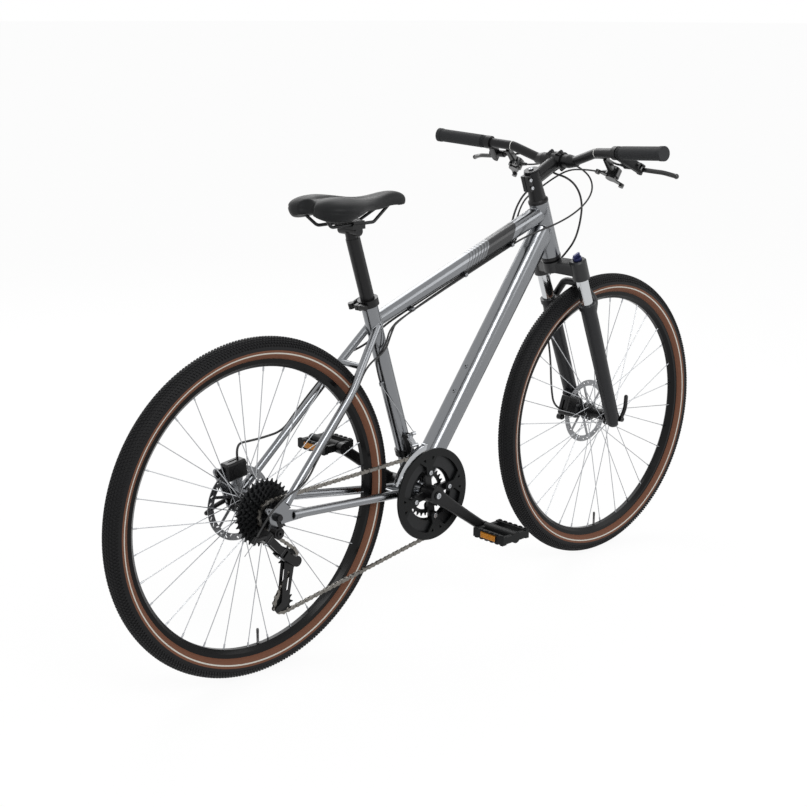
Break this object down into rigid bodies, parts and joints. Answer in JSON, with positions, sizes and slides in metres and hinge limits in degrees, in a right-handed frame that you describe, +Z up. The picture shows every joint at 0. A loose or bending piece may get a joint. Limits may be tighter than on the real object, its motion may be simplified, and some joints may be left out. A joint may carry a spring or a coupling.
{
  "type": "hybrid bike",
  "caption": "Diamond-frame hybrid bicycle with a short-travel fork, riser bar, disc brakes, derailleur gears and wide slick tyres.",
  "frame": {"origin": "on the ground, halfway between the two axles, in the middle plane", "axes": "+X forward, +Y to the rider's left, +Z up; the drive side is -Y"},
  "size_m": [1.8128, 0.6936, 1.065],
  "materials": {
    "bare aluminium": "brushed",
    "black anodised aluminium": "satin",
    "black painted fork": "satin",
    "steel": "satin",
    "black steel": "satin",
    "black plastic": "matte",
    "blue plastic": "gloss",
    "grip rubber": "matte",
    "cable jacket": "gloss",
    "tyre rubber": "matte",
    "saddle cover": "matte"
  },
  "bodies": {
    "frame": {"main_frame": "bare aluminium", "rear_triangle": "bare aluminium", "seat_clamp": "black anodised aluminium", "bearing_cups": "black anodised aluminium", "rear_caliper": "black anodised aluminium", "frame_cables": "cable jacket", "front_derailleur_clamp": "steel", "rear_derailleur_knuckle": "black steel", "rear_axle": "steel", "chain": "steel"},
    "steering": {"fork_uppers": "black painted fork", "stem": "black anodised aluminium", "handlebar": "black anodised aluminium", "grips": "grip rubber", "brake_master_cylinders": "black anodised aluminium", "shifter_housings": "black plastic", "control_cable_loops": "cable jacket", "front_brake_hose": "cable jacket"},
    "lockout": {"lockout_knob": "blue plastic"},
    "lowers": {"fork_lowers": "black painted fork", "front_caliper": "black anodised aluminium", "front_axle": "steel"},
    "front_wheel": {"front_tyre": "tyre rubber", "front_rim": "black anodised aluminium", "front_spokes": "steel", "front_hub": "black anodised aluminium", "front_rotor": "steel"},
    "rear_wheel": {"rear_tyre": "tyre rubber", "rear_rim": "black anodised aluminium", "rear_spokes": "steel", "rear_hub": "black anodised aluminium", "rear_rotor": "steel"},
    "cassette": {"cassette": "black steel"},
    "crank": {"chainrings": "black steel", "chain_guard": "black plastic", "right_crank": "black anodised aluminium", "left_crank": "black anodised aluminium", "crank_spindle": "steel"},
    "right_pedal": {"right_pedal": "black plastic"},
    "left_pedal": {"left_pedal": "black plastic"},
    "left_brake_lever": {"left_brake_lever": "black anodised aluminium"},
    "right_brake_lever": {"right_brake_lever": "black anodised aluminium"},
    "left_thumb_lever": {"left_thumb_lever": "black plastic"},
    "left_finger_lever": {"left_finger_lever": "black plastic"},
    "right_thumb_lever": {"right_thumb_lever": "black plastic"},
    "right_finger_lever": {"right_finger_lever": "black plastic"},
    "rd_outer_link": {"rd_outer_link": "black steel"},
    "rd_inner_link": {"rd_inner_link": "black steel"},
    "rd_mover": {"rd_mover": "black steel"},
    "rd_cage": {"rd_cage": "black steel"},
    "guide_pulley": {"guide_pulley": "black plastic"},
    "tension_pulley": {"tension_pulley": "black plastic"},
    "fd_link": {"fd_link": "steel"},
    "fd_cage": {"fd_cage": "steel"},
    "seat": {"seatpost": "black anodised aluminium", "saddle_rails": "black steel", "saddle": "saddle cover"},
    "seat_quick_release": {"seat_quick_release": "black anodised aluminium"},
    "front_quick_release": {"front_quick_release": "black anodised aluminium"},
    "rear_quick_release": {"rear_quick_release": "black anodised aluminium"}
  },
  "joints": [
    {"name": "steering_turn", "type": "hinge", "parent": "frame", "child": "steering", "pos_m": [0.32543, 0, 0.84897], "axis": [-0.3502, 0, 0.9367], "range_deg": [-60, 60], "deforming": ["control_cable_loops"]},
    {"name": "fork_travel", "type": "slide", "parent": "steering", "child": "lowers", "axis": [-0.3502, 0, 0.9367], "range_m": [0, 0.05], "stiffness_N_per_m": 8000, "deforming": ["front_brake_hose"]},
    {"name": "lockout_turn", "type": "hinge", "parent": "steering", "child": "lockout", "pos_m": [0.37546, -0.061, 0.778], "axis": [-0.3502, 0, 0.9367], "range_deg": [0, 90]},
    {"name": "front_wheel_spin", "type": "hinge", "parent": "lowers", "child": "front_wheel", "pos_m": [0.5485, 0, 0.358], "axis": [0, 1, 0], "continuous": true},
    {"name": "rear_wheel_spin", "type": "hinge", "parent": "frame", "child": "rear_wheel", "pos_m": [-0.5485, 0, 0.358], "axis": [0, 1, 0], "continuous": true},
    {"name": "crank_spin", "type": "hinge", "parent": "frame", "child": "crank", "pos_m": [-0.09784, 0, 0.303], "axis": [0, 1, 0], "continuous": true, "deforming": ["chain"]},
    {"name": "cassette_spin", "type": "hinge", "parent": "frame", "child": "cassette", "pos_m": [-0.5485, 0, 0.358], "axis": [0, 1, 0], "continuous": true},
    {"name": "right_pedal_spin", "type": "hinge", "parent": "crank", "child": "right_pedal", "pos_m": [0.03846, 0, 0.2014], "axis": [0, 1, 0], "continuous": true},
    {"name": "left_pedal_spin", "type": "hinge", "parent": "crank", "child": "left_pedal", "pos_m": [-0.23415, 0, 0.4046], "axis": [0, 1, 0], "continuous": true},
    {"name": "left_brake_pull", "type": "hinge", "parent": "steering", "child": "left_brake_lever", "pos_m": [0.39397, 0.222, 1.00042], "axis": [0.5615, 0, 0.8275], "range_deg": [0, 18], "stiffness_Nm_per_rad": 0.4},
    {"name": "left_thumb_push", "type": "hinge", "parent": "steering", "child": "left_thumb_lever", "pos_m": [0.38626, 0.15, 0.9882], "axis": [0.5615, 0, 0.8275], "range_deg": [0, 30], "stiffness_Nm_per_rad": 0.2},
    {"name": "left_finger_pull", "type": "hinge", "parent": "steering", "child": "left_finger_lever", "pos_m": [0.38626, 0.15, 0.9882], "axis": [0.5615, 0, 0.8275], "range_deg": [0, 12], "stiffness_Nm_per_rad": 0.2},
    {"name": "right_brake_pull", "type": "hinge", "parent": "steering", "child": "right_brake_lever", "pos_m": [0.39397, -0.222, 1.00042], "axis": [-0.5615, 0, -0.8275], "range_deg": [0, 18], "stiffness_Nm_per_rad": 0.4},
    {"name": "right_thumb_push", "type": "hinge", "parent": "steering", "child": "right_thumb_lever", "pos_m": [0.38626, -0.15, 0.9882], "axis": [-0.5615, 0, -0.8275], "range_deg": [0, 30], "stiffness_Nm_per_rad": 0.2},
    {"name": "right_finger_pull", "type": "hinge", "parent": "steering", "child": "right_finger_lever", "pos_m": [0.38626, -0.15, 0.9882], "axis": [-0.5615, 0, -0.8275], "range_deg": [0, 12], "stiffness_Nm_per_rad": 0.2},
    {"name": "rear_shift_swing", "type": "hinge", "parent": "frame", "child": "rd_outer_link", "pos_m": [-0.578, -0.086, 0.321], "axis": [0.7372, 0, 0.6757], "range_deg": [-11, 35], "deforming": ["chain", "frame_cables"]},
    {"name": "rear_shift_inner_swing", "type": "hinge", "parent": "frame", "child": "rd_inner_link", "pos_m": [-0.578, -0.07, 0.321], "axis": [0.7372, 0, 0.6757], "range_deg": [-11, 35]},
    {"name": "rear_shift_level", "type": "hinge", "parent": "rd_outer_link", "child": "rd_mover", "pos_m": [-0.545, -0.086, 0.285], "axis": [0.7372, 0, 0.6757], "range_deg": [-35, 11]},
    {"name": "chain_cage_swing", "type": "hinge", "parent": "rd_mover", "child": "rd_cage", "pos_m": [-0.5065, 0, 0.256], "axis": [0, 1, 0], "range_deg": [-20, 30], "stiffness_Nm_per_rad": 0.4, "deforming": ["chain"]},
    {"name": "guide_pulley_spin", "type": "hinge", "parent": "rd_cage", "child": "guide_pulley", "pos_m": [-0.5065, 0, 0.256], "axis": [0, 1, 0], "continuous": true},
    {"name": "tension_pulley_spin", "type": "hinge", "parent": "rd_cage", "child": "tension_pulley", "pos_m": [-0.52209, 0, 0.16229], "axis": [0, 1, 0], "continuous": true},
    {"name": "front_shift_swing", "type": "hinge", "parent": "frame", "child": "fd_link", "pos_m": [-0.14, -0.028, 0.439], "axis": [1, 0, 0], "range_deg": [0, 43], "deforming": ["chain", "frame_cables"]},
    {"name": "front_shift_level", "type": "hinge", "parent": "fd_link", "child": "fd_cage", "pos_m": [-0.14, -0.046, 0.422], "axis": [1, 0, 0], "range_deg": [-43, 0]},
    {"name": "seat_height", "type": "slide", "parent": "frame", "child": "seat", "axis": [-0.2924, 0, 0.9563], "range_m": [-0.1, 0.05]},
    {"name": "front_release_open", "type": "hinge", "parent": "lowers", "child": "front_quick_release", "pos_m": [0.5485, -0.0733, 0.358], "axis": [0.9659, 0, -0.2588], "range_deg": [0, 150]},
    {"name": "rear_release_open", "type": "hinge", "parent": "frame", "child": "rear_quick_release", "pos_m": [-0.5485, 0.0893, 0.358], "axis": [0.342, 0, -0.9397], "range_deg": [0, 150]},
    {"name": "seat_release_open", "type": "hinge", "parent": "frame", "child": "seat_quick_release", "pos_m": [-0.2601, 0.0248, 0.73964], "axis": [-0.2924, 0, 0.9563], "range_deg": [0, 150]}
  ],
  "couplings": [
    {"joint": "cassette_spin", "follows": "crank_spin", "ratio": 3.2},
    {"joint": "guide_pulley_spin", "follows": "crank_spin", "ratio": -4.3636},
    {"joint": "tension_pulley_spin", "follows": "crank_spin", "ratio": 4.3636},
    {"joint": "rear_shift_inner_swing", "follows": "rear_shift_swing", "ratio": 1},
    {"joint": "rear_shift_level", "follows": "rear_shift_swing", "ratio": -1},
    {"joint": "front_shift_level", "follows": "front_shift_swing", "ratio": -1}
  ]
}
